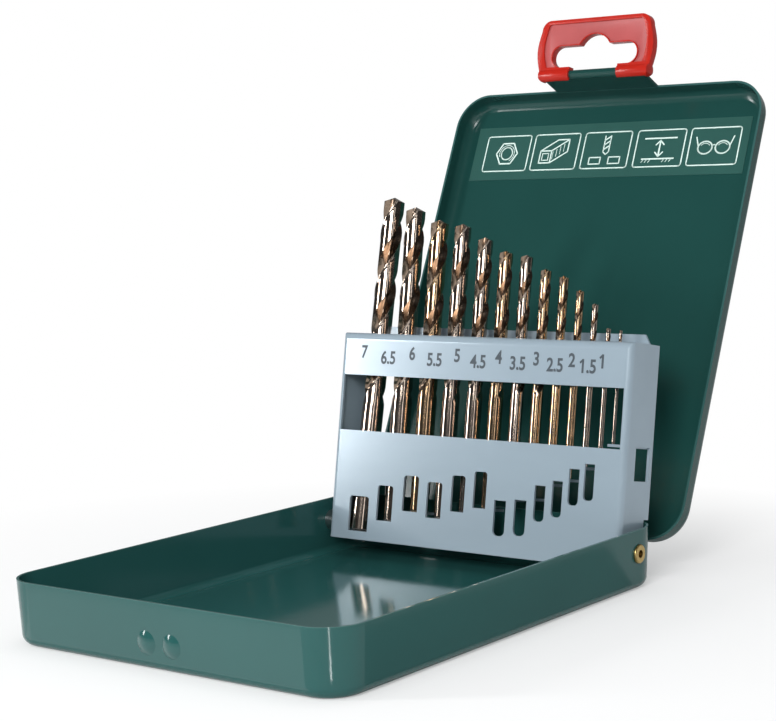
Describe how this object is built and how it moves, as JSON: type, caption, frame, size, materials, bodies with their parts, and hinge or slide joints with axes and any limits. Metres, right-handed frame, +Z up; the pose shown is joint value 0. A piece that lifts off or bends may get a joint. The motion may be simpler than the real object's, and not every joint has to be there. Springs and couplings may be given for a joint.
{
  "type": "drill bit case",
  "caption": "Flat sheet metal drill bit case, open, with a hinged lid, a tilting drilled rack holding twist drills on end, and a hanger clipped to the lid's front tab.",
  "frame": {"origin": "centre of the tray's flat underside", "axes": "+X to the right along the hinge, +Y from the front wall towards the hinge at the back, +Z up out of the tray"},
  "size_m": [0.1194, 0.2268, 0.1728],
  "materials": {
    "green_steel": "gloss",
    "lid_green": "gloss",
    "printed_film": "gloss",
    "rack_steel": "satin",
    "pin_steel": "satin",
    "brass": "polished",
    "drill_steel": "bronze oxide",
    "red_plastic": "gloss"
  },
  "bodies": {
    "base": {"base_tray": "green_steel", "hinge_leaf": "green_steel", "hinge_pin": "pin_steel", "pivot_rivets": "brass", "pivot_spacers": "pin_steel"},
    "lid": {"lid": "lid_green", "label_band": "printed_film"},
    "hanger": {"hanger": "red_plastic"},
    "rack": {"bit_rack": "rack_steel"},
    "drill_7_0": {"drill_7_0": "drill_steel"},
    "drill_6_5": {"drill_6_5": "drill_steel"},
    "drill_6_0": {"drill_6_0": "drill_steel"},
    "drill_5_5": {"drill_5_5": "drill_steel"},
    "drill_5_0": {"drill_5_0": "drill_steel"},
    "drill_4_5": {"drill_4_5": "drill_steel"},
    "drill_4_0": {"drill_4_0": "drill_steel"},
    "drill_3_5": {"drill_3_5": "drill_steel"},
    "drill_3_0": {"drill_3_0": "drill_steel"},
    "drill_2_5": {"drill_2_5": "drill_steel"},
    "drill_2_0": {"drill_2_0": "drill_steel"},
    "drill_1_5": {"drill_1_5": "drill_steel"},
    "drill_1_0": {"drill_1_0": "drill_steel"}
  },
  "joints": [
    {"name": "lid_hinge", "type": "hinge", "parent": "base", "child": "lid", "pos_m": [0, 0.0774, 0.0117], "axis": [-1, 0, 0], "range_deg": [-114.4, 0]},
    {"name": "rack_tilt", "type": "hinge", "parent": "base", "child": "rack", "pos_m": [0, 0.0623, 0.0109], "axis": [-1, 0, 0], "range_deg": [-100, 0]},
    {"name": "hanger_turn", "type": "hinge", "parent": "lid", "child": "hanger", "pos_m": [0, 0.13829, 0.15417], "axis": [-1, 0, 0], "range_deg": [-5, 60]},
    {"name": "drill_7_0_lift", "type": "slide", "parent": "rack", "child": "drill_7_0", "axis": [0, 0.2215, 0.9751], "range_m": [0, 0.067]},
    {"name": "drill_6_5_lift", "type": "slide", "parent": "rack", "child": "drill_6_5", "axis": [0, 0.1736, 0.9848], "range_m": [0, 0.063]},
    {"name": "drill_6_0_lift", "type": "slide", "parent": "rack", "child": "drill_6_0", "axis": [0, 0.1736, 0.9848], "range_m": [0, 0.059]},
    {"name": "drill_5_5_lift", "type": "slide", "parent": "rack", "child": "drill_5_5", "axis": [0, 0.1736, 0.9848], "range_m": [0, 0.06]},
    {"name": "drill_5_0_lift", "type": "slide", "parent": "rack", "child": "drill_5_0", "axis": [0, 0.1736, 0.9848], "range_m": [0, 0.057]},
    {"name": "drill_4_5_lift", "type": "slide", "parent": "rack", "child": "drill_4_5", "axis": [0, 0.1736, 0.9848], "range_m": [0, 0.056]},
    {"name": "drill_4_0_lift", "type": "slide", "parent": "rack", "child": "drill_4_0", "axis": [0, 0.1736, 0.9848], "range_m": [0, 0.052]},
    {"name": "drill_3_5_lift", "type": "slide", "parent": "rack", "child": "drill_3_5", "axis": [0, 0.1736, 0.9848], "range_m": [0, 0.051]},
    {"name": "drill_3_0_lift", "type": "slide", "parent": "rack", "child": "drill_3_0", "axis": [0, 0.1736, 0.9848], "range_m": [0, 0.046]},
    {"name": "drill_2_5_lift", "type": "slide", "parent": "rack", "child": "drill_2_5", "axis": [0, 0.1736, 0.9848], "range_m": [0, 0.045]},
    {"name": "drill_2_0_lift", "type": "slide", "parent": "rack", "child": "drill_2_0", "axis": [0, 0.1736, 0.9848], "range_m": [0, 0.041]},
    {"name": "drill_1_5_lift", "type": "slide", "parent": "rack", "child": "drill_1_5", "axis": [0, 0.1736, 0.9848], "range_m": [0, 0.039]},
    {"name": "drill_1_0_lift", "type": "slide", "parent": "rack", "child": "drill_1_0", "axis": [0, 0.1736, 0.9848], "range_m": [0, 0.033]}
  ],
  "couplings": [
    {"joint": "rack_tilt", "follows": "lid_hinge", "ratio": 0.874}
  ]
}
